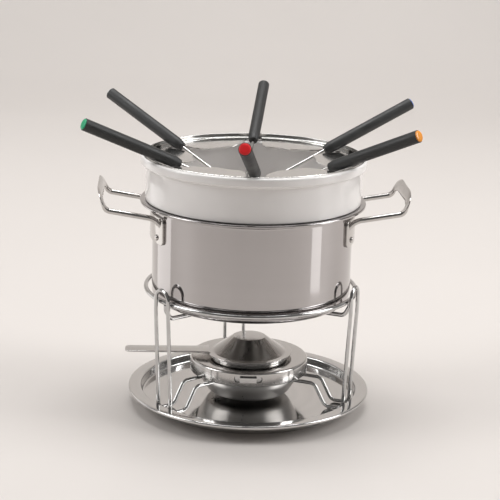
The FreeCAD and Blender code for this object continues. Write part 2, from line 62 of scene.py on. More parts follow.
def low(node):
    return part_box(node)[0]


def high(node):
    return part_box(node)[1]


# ------------------------------------------------------------------ settings
def length(label, text, default):
    return FloatProperty(name=label, description=text, default=default, unit="LENGTH", precision=4)


def turn(label, text, degrees):
    return FloatProperty(name=label, description=text, default=math.radians(degrees), unit="ROTATION")


def colour(label, text, default):
    return FloatVectorProperty(name=label, description=text, default=default, subtype="COLOR",
                               size=3, min=0.0, max=1.0)


class TraySettings(bpy.types.PropertyGroup):
    radius: length("Radius", "Outer radius of the tray", high("serving_tray")[0])
    rim_top: length("Rim height", "Top of the rim above the table", high("serving_tray")[2])
    sheet: length("Sheet", "Thickness of the sheet steel", 0.8 * MM)
    floor: length("Floor height", "Top of the tray's floor", 7.2 * MM)
    well: length("Well radius", "Radius of the well at its top", 89.6 * MM)
    foot: length("Foot radius", "Outer radius of the foot ring", 78.0 * MM)
    foot_width: length("Foot width", "Width of the foot ring", 3.0 * MM)
    hem: length("Hem", "Depth of the rim's turned-down edge", 2.4 * MM)


class StandSettings(bpy.types.PropertyGroup):
    ring: length("Ring radius", "Radius of the ring's centreline", 86.2 * MM)
    ring_wire: length("Ring wire", "Radius of the ring's wire", 1.9 * MM)
    leg_wire: length("Leg wire", "Radius of the leg's wire", 1.55 * MM)
    half_gap: length("Half gap", "Half the distance between a leg's two wires", 8.3 * MM)
    foot: length("Foot radius", "Radius at which a leg meets the tray", 86.0 * MM)
    foot_inner: length("Foot end", "Radius at which a leg leaves the tray again", 71.0 * MM)
    shoulder: length("Shoulder", "Height at which a leg starts to lean in", 92.0 * MM)
    arm_outer: length("Arm start", "Radius at which the burner's arms level out", 61.0 * MM)
    arm_end: length("Arm end", "Radius at which the burner's arms end", 43.4 * MM)
    rest_wire: length("Rest wire", "Radius of the pot rests' wire", 1.8 * MM)
    rest_drop: length("Rest bend", "Radius at which a pot rest levels out", 81.6 * MM)
    rest_end: length("Rest end", "Radius at which a pot rest ends", 40.0 * MM)
    first: turn("First leg", "Direction of the left leg", 219.0)


class BurnerSettings(bpy.types.PropertyGroup):
    sheet: length("Sheet", "Thickness of the sheet steel", 0.8 * MM)
    bowl: length("Bowl radius", "Outer radius of the bowl", high("burner_bowl")[0])
    bowl_floor: length("Bowl floor", "Radius of the bowl's floor", 33.0 * MM)
    brim: length("Brim radius", "Outer radius of the snuffer's brim", 35.6 * MM)
    cone: length("Cone radius", "Radius of the snuffer's cone at the brim", 30.4 * MM)
    disc: length("Disc radius", "Radius of the snuffer's flat top", 13.4 * MM)
    handle_turn: turn("Handle", "Direction of the snuffer's handle", 183.0)
    handle_tip: length("Handle tip", "Radius at which the snuffer's handle ends", 103.0 * MM)
    handle_root: length("Handle root", "Half width of the handle at the cone", 11.5 * MM)
    handle_half: length("Handle width", "Half width of the handle beyond the brim", 7.4 * MM)
    handle_plate: length("Handle plate", "Thickness of the snuffer's handle", 1.3 * MM)


class PotSettings(bpy.types.PropertyGroup):
    wall: length("Wall radius", "Outer radius of the pot's wall", 81.5 * MM)
    sheet: length("Sheet", "Thickness of the wall", 0.9 * MM)
    rim: length("Rim radius", "Outer radius of the flared rim", 91.6 * MM)
    rim_top: length("Rim height", "Top of the rim", 173.8 * MM)
    rim_under: length("Rim underside", "Underside of the rim at its edge", 171.4 * MM)
    corner: length("Corner", "Radius of the corner at the base", 8.0 * MM)
    rod: length("Rod", "Radius of the handle's wire", 2.2 * MM)
    rod_offset: length("Rod offset", "Distance of a handle's rods from its middle", 34.0 * MM)
    handle_turn: turn("Handles", "Direction of the right handle", 3.5)
    plate: length("Bracket plate", "Thickness of the handles' brackets", 1.9 * MM)
    bracket: turn("Bracket", "Half the angle that a bracket takes of the wall", 28.5)
    rivet: length("Rivet", "Radius of a rivet's head", 2.5 * MM)
    rivet_height: length("Rivet height", "Height of a rivet's head", 1.4 * MM)
    rivet_turn: turn("Rivets", "Angle of a rivet from a bracket's middle", 21.0)
    rod_end: length("Rod end", "Radius at which a grip starts", 118.4 * MM)
    rod_rise: length("Rod rise", "Height at which a grip starts", 170.6 * MM)
    grip_rise: length("Grip rise", "Length of a grip up its slope", 12.4 * MM)
    grip_tilt: turn("Grip tilt", "Slope of the grips", 68.0)


class InsertSettings(bpy.types.PropertyGroup):
    collar: length("Collar radius", "Outer radius of the collar", 87.7 * MM)
    lip: length("Lip radius", "Outer radius of the lip", 91.6 * MM)
    lip_top: length("Lip height", "Top of the lip", high("ceramic_bowl")[2])
    bottom: length("Bottom", "Underside of the insert", low("ceramic_bowl")[2])
    body: length("Body radius", "Outer radius below the collar", 79.3 * MM)
    lip_under: length("Lip underside", "Underside of the lip", 203.4 * MM)
    ledge: length("Ledge height", "Height of the ledge that holds the fork ring", 206.2 * MM)
    ledge_radius: length("Ledge radius", "Outer radius of the ledge", 89.2 * MM)
    inside: length("Inside radius", "Radius inside the insert", 75.0 * MM)
    floor: length("Floor height", "Top of the insert's floor", 139.0 * MM)


class ForkSettings(bpy.types.PropertyGroup):
    count: IntProperty(name="Forks", description="Forks round the ring", default=len(FORKS))
    offset: length("Offset", "Distance of a fork's line from the axis", 8.4 * MM)
    height: length("Height", "Height of a fork's line beside the axis", 177.8 * MM)
    slope: turn("Slope", "Slope of a fork", 24.3)
    first: turn("First fork", "Direction of the first fork", -96.0)
    grip: length("Grip radius", "Radius of a fork's grip", 4.9 * MM)
    grip_start: length("Grip start", "Start of the grip along the fork", 74.0 * MM)
    grip_end: length("Grip end", "End of the grip along the fork", 160.4 * MM)
    cap: length("Cap radius", "Radius of the coloured plug in the grip's end", 4.35 * MM)
    cap_start: length("Cap start", "Start of the cap along the fork", 153.0 * MM)
    cap_end: length("Cap end", "End of the cap along the fork", 161.6 * MM)


class FinishSettings(bpy.types.PropertyGroup):
    tray: colour("Tray", "Steel of the tray", (0.66, 0.65, 0.64))
    wire: colour("Wire", "Plating of the stand", (0.60, 0.595, 0.59))
    burner: colour("Burner", "Steel of the burner", (0.60, 0.585, 0.57))
    # pot: partly the steel's own colour, partly painted reflection: darker and more grey-mauve than the other
    # steel, to stand for the surroundings it reflects
    pot: colour("Pot", "Steel of the pot", (0.455, 0.435, 0.432))
    # base: painted dark reflection, the disc darkened to stand for the dark things it reflects under the pot
    base: colour("Base", "Steel of the pot's base disc", (0.26, 0.25, 0.24))
    handle: colour("Handles", "Steel of the pot's handles", (0.60, 0.58, 0.56))
    ring: colour("Fork ring", "Steel of the fork ring", (0.68, 0.67, 0.65))
    glaze: colour("Glaze", "White glaze of the insert", (0.88, 0.855, 0.84))
    grip: colour("Grips", "Plastic of the grips", (0.026, 0.026, 0.0255))
    red: colour("Red", "Cap of the front fork", (0.80, 0.018, 0.022))
    orange: colour("Orange", "Cap of the right fork", (0.93, 0.33, 0.012))
    blue: colour("Blue", "Cap of the right back fork", (0.02, 0.12, 0.55))
    yellow: colour("Yellow", "Cap of the back fork", (0.93, 0.72, 0.03))
    white: colour("White", "Cap of the left back fork", (0.85, 0.85, 0.83))
    green: colour("Green", "Cap of the left fork", (0.010, 0.42, 0.19))


class StageSettings(bpy.types.PropertyGroup):
    floor: colour("Floor", "Colour of the floor and backdrop", (0.66, 0.62, 0.59))
    distance: length("Distance", "Camera's distance from the set's axis", 1.2486)
    height: length("Height", "Camera's height above the floor", 0.4655)
    aside: length("Aside", "Camera's place to the left of the axis", 0.0014)
    pitch: turn("Pitch", "How far the camera looks down", 15.02)
    roll: turn("Roll", "Roll of the camera", 1.55)
    lens: FloatProperty(name="Lens", description="Focal length", default=113.6, unit="CAMERA")


class FondueSettings(bpy.types.PropertyGroup):
    tray: PointerProperty(type=TraySettings)
    stand: PointerProperty(type=StandSettings)
    burner: PointerProperty(type=BurnerSettings)
    pot: PointerProperty(type=PotSettings)
    insert: PointerProperty(type=InsertSettings)
    forks: PointerProperty(type=ForkSettings)
    finish: PointerProperty(type=FinishSettings)
    stage: PointerProperty(type=StageSettings)


def settings():
    return bpy.context.scene.fondue


# ------------------------------------------------------------- node helpers
def socket(tree, way, name, kind="NodeSocketFloat", value=None):
    item = tree.interface.new_socket(name=name, in_out=way, socket_type=kind)
    if value is not None:
        item.default_value = value
    return item


def effect(name, inputs, outputs):
    """A new node group with its named sockets, or None if it is already built."""
    if name in bpy.data.node_groups:
        return bpy.data.node_groups[name], None, None
    tree = bpy.data.node_groups.new(name, "ShaderNodeTree")
    for label, kind, value in inputs:
        socket(tree, "INPUT", label, kind, value)
    for label in outputs:
        socket(tree, "OUTPUT", label)
    return tree, tree.nodes.new("NodeGroupInput"), tree.nodes.new("NodeGroupOutput")


def math_node(tree, operation, first, second):
    node = tree.nodes.new("ShaderNodeMath")
    node.operation = operation
    for slot, value in ((0, first), (1, second)):
        if isinstance(value, (int, float)):
            node.inputs[slot].default_value = value
        else:
            tree.links.new(value, node.inputs[slot])
    return node.outputs[0]


def noise_node(tree, vector, scale, detail=3.0, rough=0.5):
    node = tree.nodes.new("ShaderNodeTexNoise")
    node.inputs["Detail"].default_value = detail
    node.inputs["Roughness"].default_value = rough
    tree.links.new(vector, node.inputs["Vector"])
    if isinstance(scale, (int, float)):
        node.inputs["Scale"].default_value = scale
    else:
        tree.links.new(scale, node.inputs["Scale"])
    return node.outputs["Fac"]


def turning_marks():
    """Fine rings left by polishing on a spindle, round the Z axis."""
    tree, start, end = effect("Turning marks", (
        ("Vector", "NodeSocketVector", None), ("Fineness", "NodeSocketFloat", 1800.0)),
        ("Marks", "Streaks"))
    if start is None:
        return tree
    parts = tree.nodes.new("ShaderNodeSeparateXYZ")
    tree.links.new(start.outputs["Vector"], parts.inputs[0])
    x, y, z = parts.outputs
    square = math_node(tree, "ADD", math_node(tree, "MULTIPLY", x, x), math_node(tree, "MULTIPLY", y, y))
    away = math_node(tree, "SQRT", square, 0.0)
    around = math_node(tree, "ARCTAN2", y, x)
    join = tree.nodes.new("ShaderNodeCombineXYZ")
    tree.links.new(away, join.inputs[0])
    tree.links.new(math_node(tree, "MULTIPLY", around, 0.0006), join.inputs[1])
    tree.links.new(z, join.inputs[2])
    marks = noise_node(tree, join.outputs[0], start.outputs["Fineness"], 4.0, 0.6)
    tree.links.new(marks, end.inputs["Marks"])
    wide = math_node(tree, "MULTIPLY", start.outputs["Fineness"], 0.08)
    tree.links.new(noise_node(tree, join.outputs[0], wide, 2.0), end.inputs["Streaks"])
    return tree


def smudges():
    """Soft handling marks and a few fine dull specks."""
    tree, start, end = effect("Smudges", (
        ("Vector", "NodeSocketVector", None), ("Size", "NodeSocketFloat", 45.0)),
        ("Haze", "Specks"))
    if start is None:
        return tree
    haze = noise_node(tree, start.outputs["Vector"], start.outputs["Size"], 5.0, 0.62)
    tree.links.new(haze, end.inputs["Haze"])
    fine = math_node(tree, "MULTIPLY", start.outputs["Size"], 28.0)
    dots = noise_node(tree, start.outputs["Vector"], fine, 2.0)
    ramp = tree.nodes.new("ShaderNodeMapRange")
    ramp.inputs["From Min"].default_value = 0.66
    ramp.inputs["From Max"].default_value = 0.74
    tree.links.new(dots, ramp.inputs["Value"])
    tree.links.new(ramp.outputs[0], end.inputs["Specks"])
    return tree


def moulded_grain():
    """The fine sparked texture of a moulded plastic surface."""
    tree, start, end = effect("Moulded grain", (
        ("Vector", "NodeSocketVector", None), ("Fineness", "NodeSocketFloat", 1500.0)),
        ("Grain", "Mottle"))
    if start is None:
        return tree
    cells = tree.nodes.new("ShaderNodeTexVoronoi")
    tree.links.new(start.outputs["Vector"], cells.inputs["Vector"])
    tree.links.new(start.outputs["Fineness"], cells.inputs["Scale"])
    rough = noise_node(tree, start.outputs["Vector"], start.outputs["Fineness"], 3.0, 0.7)
    tree.links.new(math_node(tree, "ADD", cells.outputs["Distance"], rough), end.inputs["Grain"])
    wide = math_node(tree, "MULTIPLY", start.outputs["Fineness"], 0.06)
    tree.links.new(noise_node(tree, start.outputs["Vector"], wide, 3.0), end.inputs["Mottle"])
    return tree


class Finish:
    """A material with a Principled shader, Object coordinates and shared effects."""

    def __init__(self, name, base, rough, metal=0.0):
        self.material = bpy.data.materials.new(name)
        self.material.use_nodes = True
        self.tree = self.material.node_tree
        self.shader = self.tree.nodes["Principled BSDF"]
        self.coords = self.tree.nodes.new("ShaderNodeTexCoord").outputs["Object"]
        self.set("Base Color", (*base, 1.0))
        self.set("Roughness", rough)
        self.set("Metallic", metal)
        self.base = base
        self.material.diffuse_color = (*base, 1.0)

    def set(self, name, value):
        self.shader.inputs[name].default_value = value

    def group(self, tree, **values):
        node = self.tree.nodes.new("ShaderNodeGroup")
        node.node_tree = tree
        self.tree.links.new(self.coords, node.inputs["Vector"])
        for name, value in values.items():
            node.inputs[name].default_value = value
        return node.outputs

    def spread(self, value, name, lowest, highest, start=0.3, stop=0.7):
        """Feeds a shader value from a mask, between two limits."""
        span = self.tree.nodes.new("ShaderNodeMapRange")
        span.inputs["From Min"].default_value = start
        span.inputs["From Max"].default_value = stop
        span.inputs["To Min"].default_value = lowest
        span.inputs["To Max"].default_value = highest
        self.tree.links.new(value, span.inputs["Value"])
        self.tree.links.new(span.outputs[0], self.shader.inputs[name])

    def tint(self, mask, dark, start=0.35, stop=0.65):
        """Mixes the base colour towards a darker one by a mask."""
        ramp = self.tree.nodes.new("ShaderNodeValToRGB")
        ramp.color_ramp.elements[0].position = start
        ramp.color_ramp.elements[1].position = stop
        ramp.color_ramp.elements[0].color = (*[part * dark for part in self.base], 1.0)
        ramp.color_ramp.elements[1].color = (*self.base, 1.0)
        self.tree.links.new(mask, ramp.inputs[0])
        self.tree.links.new(ramp.outputs[0], self.shader.inputs["Base Color"])

    def bump(self, height, distance, strength=1.0):
        node = self.tree.nodes.new("ShaderNodeBump")
        node.inputs["Distance"].default_value = distance
        node.inputs["Strength"].default_value = strength
        self.tree.links.new(height, node.inputs["Height"])
        self.tree.links.new(node.outputs[0], self.shader.inputs["Normal"])


def polished_steel(name, base, rough, marks=2e-6, fineness=1800.0, streak=0.95):
    """Mirror steel turned on a spindle, with faint rings and handling haze."""
    finish = Finish(name, base, rough, 1.0)
    ring = finish.group(turning_marks(), Fineness=fineness)
    haze = finish.group(smudges(), Size=38.0)
    finish.spread(haze["Haze"], "Roughness", rough * 0.7, rough * 1.5)
    finish.tint(ring["Streaks"], streak)
    finish.bump(ring["Marks"], marks, 0.35)
    return finish.material


def plated_wire(name, base, rough):
    """Bright plating with slight waviness from the drawn wire."""
    finish = Finish(name, base, rough, 1.0)
    haze = finish.group(smudges(), Size=160.0)
    finish.spread(haze["Haze"], "Roughness", rough * 0.6, rough * 1.8)
    finish.tint(haze["Haze"], 0.88)
    finish.bump(haze["Haze"], 4e-5, 0.25)
    return finish.material


def white_glaze():
    """Gloss white glaze over pottery, a little uneven and pooled."""
    finish = Finish("White glaze", settings().finish.glaze, 0.16)
    haze = finish.group(smudges(), Size=22.0)
    finish.spread(haze["Haze"], "Roughness", 0.10, 0.22)
    finish.tint(haze["Haze"], 0.965)
    finish.bump(haze["Haze"], 1.2e-4, 0.3)
    finish.set("Coat Weight", 0.5)
    finish.set("Coat Roughness", 0.08)
    return finish.material


def grip_plastic():
    """Charcoal plastic with a fine matt grain."""
    finish = Finish("Grip plastic", settings().finish.grip, 0.5)
    grain = finish.group(moulded_grain(), Fineness=1300.0)
    finish.spread(grain["Mottle"], "Roughness", 0.42, 0.60)
    finish.tint(grain["Mottle"], 0.72)
    finish.bump(grain["Grain"], 6e-5, 0.5)
    return finish.material


def cap_plastic(name, base):
    finish = Finish(name, base, 0.34)
    grain = finish.group(moulded_grain(), Fineness=900.0)
    finish.spread(grain["Mottle"], "Roughness", 0.28, 0.42)
    finish.tint(grain["Mottle"], 0.85)
    finish.bump(grain["Grain"], 2e-5, 0.3)
    finish.set("Coat Weight", 0.25)
    return finish.material


def fibre_wadding():
    finish = Finish("Wadding", (0.74, 0.72, 0.68), 0.95)
    grain = finish.group(moulded_grain(), Fineness=420.0)
    finish.tint(grain["Mottle"], 0.7)
    finish.bump(grain["Grain"], 6e-4, 0.8)
    finish.set("Sheen Weight", 0.4)
    return finish.material


def wire_gauze():
    """Woven wire, the gaps between crossing strands painted dark as shade seen through them."""
    finish = Finish("Wire gauze", (0.50, 0.49, 0.47), 0.35, 1.0)
    parts = finish.tree.nodes.new("ShaderNodeSeparateXYZ")
    finish.tree.links.new(finish.coords, parts.inputs[0])
    strands = []
    for axis in (0, 1):
        swing = math_node(finish.tree, "MULTIPLY", parts.outputs[axis], 5200.0)
        strands.append(math_node(finish.tree, "ABSOLUTE", math_node(finish.tree, "SINE", swing, 0.0), 0.0))
    weave_and_gap_shade = math_node(finish.tree, "MAXIMUM", strands[0], strands[1])
    # painted shade: the holes between strands are darkened; the same mask also gives the weave its relief
    finish.tint(weave_and_gap_shade, 0.12, 0.35, 0.8)
    finish.bump(weave_and_gap_shade, 2e-4, 0.8)
    return finish.material


# ------------------------------------------------------------ shape helpers
def round_corners(bm, path, bends):
    """Rounds a wire's corners, each by its own bend radius."""
    for vert, bend in zip(list(path), bends):
        if bend <= 0.0 or len(vert.link_edges) != 2:
            continue
        sides = [(edge.other_vert(vert).co - vert.co).normalized() for edge in vert.link_edges]
        half = sides[0].angle(sides[1]) / 2.0
        reach = bend / math.tan(half)
        room = min(edge.calc_length() for edge in vert.link_edges) * 0.98
        steps = max(3, min(16, round((math.pi - 2.0 * half) / math.radians(9.0))))
        bmesh.ops.bevel(bm, geom=[vert], offset=min(reach, room), offset_type="OFFSET",
                        segments=steps, profile=0.5, affect="VERTICES", material=-1)


def wire_path(bm, points, closed):
    verts = [bm.verts.new(point) for point in points]
    for first, second in zip(verts, verts[1:]):
        bm.edges.new((first, second))
    if closed:
        bm.edges.new((verts[-1], verts[0]))
    return verts


def turned(corners, steps=160):
    """A solid turned round Z from an outline of (radius, height, bend) corners."""
    bm = bmesh.new()
    path = wire_path(bm, [(r, 0.0, z) for r, z, bend in corners], True)
    round_corners(bm, path, [bend for r, z, bend in corners])
    axis_edges = [edge for edge in bm.edges if all(vert.co.x < 1e-7 for vert in edge.verts)]
    bmesh.ops.delete(bm, geom=axis_edges, context="EDGES")
    bmesh.ops.spin(bm, geom=bm.verts[:] + bm.edges[:], cent=(0, 0, 0), axis=(0, 0, 1), dvec=(0, 0, 0),
                   angle=math.tau, steps=steps, use_merge=True, use_duplicate=False)
    bmesh.ops.remove_doubles(bm, verts=bm.verts, dist=1e-6)
    bmesh.ops.dissolve_degenerate(bm, edges=bm.edges, dist=1e-7)
    bmesh.ops.recalc_face_normals(bm, faces=bm.faces)
    return bm


def bent_points(points, bends):
    """The points along a wire whose corners are rounded, in order."""
    bm = bmesh.new()
    path = wire_path(bm, points, False)
    first = path[0]
    round_corners(bm, path, bends)
    line, here, came = [first.co.copy()], first, None
    while True:
        ways = [edge for edge in here.link_edges if edge is not came]
        if not ways:
            break
        came = ways[0]
        here = came.other_vert(here)
        line.append(here.co.copy())
    bm.free()
    return line


def wire_mesh(points, bends, radius):
    """A round wire of one gauge along a bent line, closed at its ends."""
    line = bent_points(points, bends)
    curve = bpy.data.curves.new("wire", "CURVE")
    curve.dimensions = "3D"
    spline = curve.splines.new("POLY")
    spline.points.add(len(line) - 1)
    for point, place in zip(spline.points, line):
        point.co = (*place, 1.0)
    curve.bevel_depth = radius
    curve.bevel_resolution = 7
    curve.use_fill_caps = True
    holder = bpy.data.objects.new("wire", curve)
    mesh = bpy.data.meshes.new_from_object(holder)
    bm = bmesh.new()
    bm.from_mesh(mesh)
    bmesh.ops.remove_doubles(bm, verts=bm.verts, dist=1e-6)
    bmesh.ops.recalc_face_normals(bm, faces=bm.faces)
    bpy.data.objects.remove(holder)
    bpy.data.curves.remove(curve)
    bpy.data.meshes.remove(mesh)
    return bm


def turn_about_z(bm, angle):
    bmesh.ops.rotate(bm, verts=bm.verts, cent=(0, 0, 0), matrix=Matrix.Rotation(angle, 3, "Z"))
    return bm


def piece(name, bm, body, nodes, material, sharp=38.0):
    """Makes the finished object, rides it on its body and hides the CAD nodes that it replaces."""
    mesh = bpy.data.meshes.new(name)
    bm.to_mesh(mesh)
    bm.free()
    mesh.shade_smooth()
    mesh.set_sharp_from_angle(angle=math.radians(sharp))
    mesh.materials.append(material)
    item = bpy.data.objects.new(name, mesh)
    bpy.context.scene.collection.objects.link(item)
    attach(item, body)
    if nodes:
        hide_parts(*nodes)
    return item


def finish_node(node, material):
    """Gives a carried-over CAD node its finish."""
    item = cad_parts[node]
    item.data.materials.clear()
    item.data.materials.append(material)


def join(bm, other):
    """Adds another bmesh's faces to this one."""
    spare = bpy.data.meshes.new("spare")
    other.to_mesh(spare)
    other.free()
    bm.from_mesh(spare)
    bpy.data.meshes.remove(spare)
    return bm


# ---------------------------------------------------------------- operators
class PieceOperator:
    bl_options = {"REGISTER", "UNDO"}

    def execute(self, context):
        self.build(settings())
        return {"FINISHED"}


class FONDUE_OT_tray(PieceOperator, bpy.types.Operator):
    """Make the serving tray"""
    bl_idname = "fondue.tray"
    bl_label = "Serving Tray"

    def build(self, sizes):
        tray = sizes.tray
        under = tray.floor - tray.sheet
        skin = tray.sheet
        hem = tray.rim_top - tray.hem
        foot_inside = tray.foot - tray.foot_width
        rim = tray.radius
        shape = turned([
            (0, under, 0), (foot_inside, under, 0),
            (foot_inside, 0, 0.6 * MM), (tray.foot, 0, 0.6 * MM),
            (tray.foot, under, 0), (tray.well - 0.4 * MM, under, 2.4 * MM),
            (tray.well + skin, tray.rim_top - skin, 0.8 * MM),
            (rim - skin, tray.rim_top - skin, 0.6 * MM), (rim - skin, hem, 0.3 * MM),
            (rim, hem, 0.3 * MM), (rim, tray.rim_top, 1.3 * MM),
            (tray.well, tray.rim_top, 1.6 * MM),
            (tray.well - 1.2 * MM, tray.floor, 1.8 * MM), (0, tray.floor, 0)], steps=200)
        steel = polished_steel("Tray steel", sizes.finish.tray, 0.075)
        piece("tray", shape, "tray", ["serving_tray"], steel)


def ring_mesh(radius, height, wire, steps=200):
    """A closed wire ring round the Z axis."""
    bm = bmesh.new()
    section = bmesh.ops.create_circle(bm, segments=28, radius=wire, cap_ends=False)["verts"]
    bmesh.ops.rotate(bm, verts=section, cent=(0, 0, 0), matrix=Matrix.Rotation(math.pi / 2, 3, "X"))
    bmesh.ops.translate(bm, verts=section, vec=(radius, 0, height))
    bmesh.ops.spin(bm, geom=bm.verts[:] + bm.edges[:], cent=(0, 0, 0), axis=(0, 0, 1), dvec=(0, 0, 0),
                   angle=math.tau, steps=steps, use_merge=True, use_duplicate=False)
    bmesh.ops.remove_doubles(bm, verts=bm.verts, dist=1e-6)
    bmesh.ops.recalc_face_normals(bm, faces=bm.faces)
    return bm


class FONDUE_OT_stand(PieceOperator, bpy.types.Operator):
    """Make the wire stand: its ring, three hairpin legs and three pot rests"""
    bl_idname = "fondue.stand"
    bl_label = "Wire Stand"

    def build(self, sizes):
        stand = sizes.stand
        chrome = plated_wire("Plated wire", sizes.finish.wire, 0.07)
        level = (low("stand_ring")[2] + high("stand_ring")[2]) / 2
        piece("ring", ring_mesh(stand.ring, level, stand.ring_wire), "stand", ["stand_ring"],
              chrome)
        for index, name in enumerate(LEGS):
            where = stand.first - math.radians(120.0) * index
            leg = turn_about_z(self.leg(sizes), where)
            piece("leg_" + name, leg, "stand", ["stand_leg_" + name], chrome)
            rest = turn_about_z(self.rest(sizes, level), where)
            piece("rest_" + name, rest, "stand", ["pot_rest_" + name], chrome)

    def leg(self, sizes):
        stand = sizes.stand
        wire, side = stand.leg_wire, stand.half_gap
        reach = stand.ring + stand.ring_wire + wire
        foot = sizes.tray.floor + GAP + wire
        arm = low("burner_lid")[2] - GAP - wire
        loop = high("stand_leg_left")[2] - wire
        down = [(reach, loop, side), (reach, stand.shoulder, 30 * MM),
                (stand.foot, foot, 5 * MM), (stand.foot_inner, foot, 6 * MM),
                (stand.arm_outer, arm, 5.5 * MM), (stand.arm_end, arm, 0)]
        near = [((x, side, z), bend) for x, z, bend in down]
        far = [((x, -side, z), bend) for x, z, bend in down]
        line = near[::-1] + far
        return wire_mesh([place for place, bend in line], [bend * 0.999 for place, bend in line], wire)

    def rest(self, sizes, level):
        stand = sizes.stand
        wire = stand.rest_wire
        height = low("pot_base_disc")[2] - GAP - wire
        start = level - stand.ring_wire - 0.02 * MM
        reach = stand.ring - 0.4 * MM
        return wire_mesh(
            [(reach, 0, start), (reach, 0, start - 4 * MM),
             (stand.rest_drop, 0, height), (stand.rest_end, 0, height)],
            [0, 3 * MM, 5 * MM, 0], wire)


class FONDUE_OT_burner(PieceOperator, bpy.types.Operator):
    """Make the spirit burner: its bowl, lid, gauze, wadding and regulator"""
    bl_idname = "fondue.burner"
    bl_label = "Spirit Burner"

    def build(self, sizes):
        burner = sizes.burner
        skin = burner.sheet
        steel = polished_steel("Burner steel", sizes.finish.burner, 0.13, 6e-6, 1500.0)
        bottom, under = low("burner_bowl")[2], high("burner_bowl")[2]
        bowl = turned([
            (0, bottom, 0), (burner.bowl_floor, bottom, 7 * MM),
            (burner.bowl, bottom + 14 * MM, 12 * MM), (burner.bowl, under, 0),
            (burner.bowl - skin, under, 0), (burner.bowl - skin, bottom + 14.2 * MM, 11.2 * MM),
            (burner.bowl_floor - 0.5 * MM, bottom + skin, 6.2 * MM), (0, bottom + skin, 0)])
        brushed = polished_steel("Bowl steel", sizes.finish.burner, 0.31, 8e-6, 1200.0)
        piece("burner_cup", bowl, "burner", ["burner_bowl"], brushed)
        finish_node("burner_lid", steel)
        finish_node("burner_gauze", wire_gauze())
        finish_node("burner_wadding", fibre_wadding())
        finish_node("flame_regulator", polished_steel("Regulator steel", sizes.finish.wire, 0.12))


class FONDUE_OT_snuffer(PieceOperator, bpy.types.Operator):
    """Make the snuffer cover with its flat handle"""
    bl_idname = "fondue.snuffer"
    bl_label = "Snuffer Cover"

    def build(self, sizes):
        burner = sizes.burner
        skin = burner.sheet
        bottom, top = low("snuffer_cover")[2], high("snuffer_cover")[2]
        shape = turned([
            (0, top - skin, 0), (burner.disc - 0.3 * MM, top - skin, 0.8 * MM),
            (burner.cone - skin, bottom, 1 * MM), (burner.brim, bottom, 0.3 * MM),
            (burner.brim, bottom + skin, 0.3 * MM), (burner.cone, bottom + skin, 3 * MM),
            (burner.disc, top, 1 * MM), (0, top, 0)], steps=200)
        join(shape, self.strap(burner, bottom))
        turn_about_z(shape, burner.handle_turn)
        steel = polished_steel("Snuffer steel", sizes.finish.burner, 0.11, 5e-6, 1500.0)
        piece("snuffer", shape, "snuffer", ["snuffer_cover"], steel)

    def strap(self, burner, bottom):
        """The handle: a tapering strip with a rounded tip and rolled edges."""
        bm = bmesh.new()
        root, waist, tip = burner.cone + 2 * MM, burner.brim + 8 * MM, burner.handle_tip
        half, level = burner.handle_half, bottom + 0.1 * MM
        side = [(root, burner.handle_root, 2 * MM), (waist, half, 20 * MM), (tip, half, 4.5 * MM)]
        corners = [(x, -y, bend) for x, y, bend in side] + side[::-1]
        path = wire_path(bm, [(x, y, level) for x, y, bend in corners], True)
        round_corners(bm, path, [bend for x, y, bend in corners])
        face = bmesh.ops.contextual_create(bm, geom=bm.edges[:])["faces"]
        top = bmesh.ops.extrude_face_region(bm, geom=face)["geom"]
        raised = [item for item in top if isinstance(item, bmesh.types.BMVert)]
        bmesh.ops.translate(bm, verts=raised, vec=(0, 0, burner.handle_plate))
        bmesh.ops.recalc_face_normals(bm, faces=bm.faces)
        rims = [edge for edge in bm.edges if abs(edge.verts[0].co.z - edge.verts[1].co.z) < 1e-7]
        bmesh.ops.bevel(bm, geom=rims, offset=0.4 * MM, segments=3, profile=0.5, affect="EDGES", material=-1)
        return bm


class FONDUE_OT_pot(PieceOperator, bpy.types.Operator):
    """Make the pot with its base disc"""
    bl_idname = "fondue.pot"
    bl_label = "Pot"

    def build(self, sizes):
        pot = sizes.pot
        bottom, skin = low("pot_body")[2], pot.sheet
        shape = turned([
            (0, bottom, 0), (pot.wall, bottom, pot.corner),
            (pot.wall, pot.rim_under - 1.6 * MM, 3.4 * MM),
            (pot.rim - 0.8 * MM, pot.rim_under + 0.3 * MM, 0.6 * MM),
            (pot.rim, pot.rim_under, 0.5 * MM), (pot.rim, pot.rim_top, 1.0 * MM),
            (pot.wall - skin, pot.rim_top - 0.5 * MM, 3 * MM),
            (pot.wall - skin, bottom + skin, pot.corner - skin), (0, bottom + skin, 0)], steps=200)
        # the pot's colour carries a painted reflection tone, darker and grey-mauve
        steel = polished_steel("Pot steel", sizes.finish.pot, 0.06, 1e-6, 2200.0, 0.985)
        piece("pot", shape, "pot", ["pot_body"], steel)
        disc = high("pot_base_disc")
        edge, base = disc[0], low("pot_base_disc")[2]
        plate = turned([(0, base, 0), (edge, base, 0.8 * MM), (edge, disc[2], 0), (0, disc[2], 0)], steps=128)
        # painted dark reflection: the base disc's colour is darkened to stand for what it reflects
        dark_reflection_steel = polished_steel("Base steel", sizes.finish.base, 0.26, 2e-5, 900.0)
        piece("base_disc", plate, "pot", ["pot_base_disc"], dark_reflection_steel)


